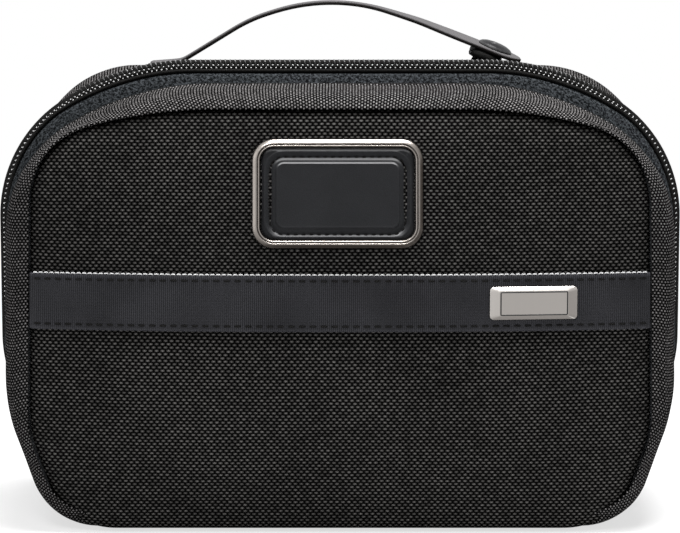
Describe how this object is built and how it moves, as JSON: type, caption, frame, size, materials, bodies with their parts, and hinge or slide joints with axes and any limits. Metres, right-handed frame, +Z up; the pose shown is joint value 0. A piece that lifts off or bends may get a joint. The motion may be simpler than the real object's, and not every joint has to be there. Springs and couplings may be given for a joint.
{
  "type": "toiletry bag",
  "caption": "Padded zip-around toiletry bag that opens like a clam, with a top carry handle closed by a press stud, a metal-framed patch and a band across its front.",
  "frame": {"origin": "middle of the base, on the surface that the bag stands on, midway across the width and the depth", "axes": "+X to the right seen from the front, +Y to the back, +Z up; the closed zip lies in the plane Y = 0"},
  "size_m": [0.256, 0.1129, 0.1925],
  "materials": {
    "ballistic_cloth": "coarse brick-offset nylon weave, near-black with a faint brown sheen",
    "lining_cloth": "thin plain-woven lining, charcoal",
    "foam": "closed-cell foam sheet",
    "binding_tape": "woven binding tape, black",
    "zip_tape": "knitted blue-grey zip tape, slightly fuzzy",
    "zip_coil": "black nylon coil with small bright glints",
    "coated_band": "finely ribbed coated cloth, slate grey",
    "strap_leather": "dark grained leather with painted edges",
    "patch_leather": "smooth black leather with a pressed field",
    "dark_nickel": "polished dark nickel plating",
    "pale_nickel": "satin champagne nickel plating",
    "steel": "plain steel",
    "black_enamel": "semi-gloss black enamel on brass",
    "net": "open polyester mesh",
    "elastic": "ribbed elastic braid"
  },
  "bodies": {
    "back_half": {"back_gusset": "ballistic_cloth", "back_panel": "ballistic_cloth", "back_foam_pad": "foam", "back_seam_binding": "binding_tape", "back_lining": "lining_cloth", "back_zip_tape": "zip_tape", "back_zip_coil": "zip_coil", "base_fold": "binding_tape", "pocket_net": "net", "pocket_hem": "elastic", "left_zip_end_tab": "strap_leather", "right_zip_end_tab": "strap_leather", "handle_tail": "strap_leather", "handle_anchor": "strap_leather", "anchor_backing": "lining_cloth", "snap_backing": "lining_cloth", "snap_riser": "ballistic_cloth", "snap_stud": "black_enamel"},
    "front_half": {"front_gusset": "ballistic_cloth", "front_panel": "ballistic_cloth", "front_foam_pad": "foam", "front_seam_binding": "binding_tape", "front_lining": "lining_cloth", "front_zip_tape": "zip_tape", "front_zip_coil": "zip_coil", "trim_band": "coated_band", "patch_frame": "dark_nickel", "patch_leather": "patch_leather", "patch_backing": "steel", "name_plate": "pale_nickel", "plate_backing": "steel"},
    "handle": {"handle_strap": "strap_leather", "snap_cap": "black_enamel", "snap_socket": "black_enamel"},
    "slider": {"zip_slider": "dark_nickel"},
    "pull": {"pull_link": "dark_nickel", "pull_tab": "patch_leather"}
  },
  "joints": [
    {"name": "front_half_swing", "type": "hinge", "parent": "back_half", "child": "front_half", "pos_m": [0, 0, 0.001], "axis": [1, 0, 0], "range_deg": [0, 170]},
    {"name": "handle_swing", "type": "hinge", "parent": "back_half", "child": "handle", "pos_m": [-0.0605, 0.021, 0.1688], "axis": [0, -1, 0], "range_deg": [0, 95]},
    {"name": "slider_travel", "type": "slide", "parent": "back_half", "child": "slider", "axis": [0.326, 0, 0.9454], "range_m": [0, 0.014]},
    {"name": "pull_swing", "type": "hinge", "parent": "slider", "child": "pull", "pos_m": [0.1209, 0, 0.02989], "axis": [0, -1, 0], "range_deg": [0, 150]}
  ]
}
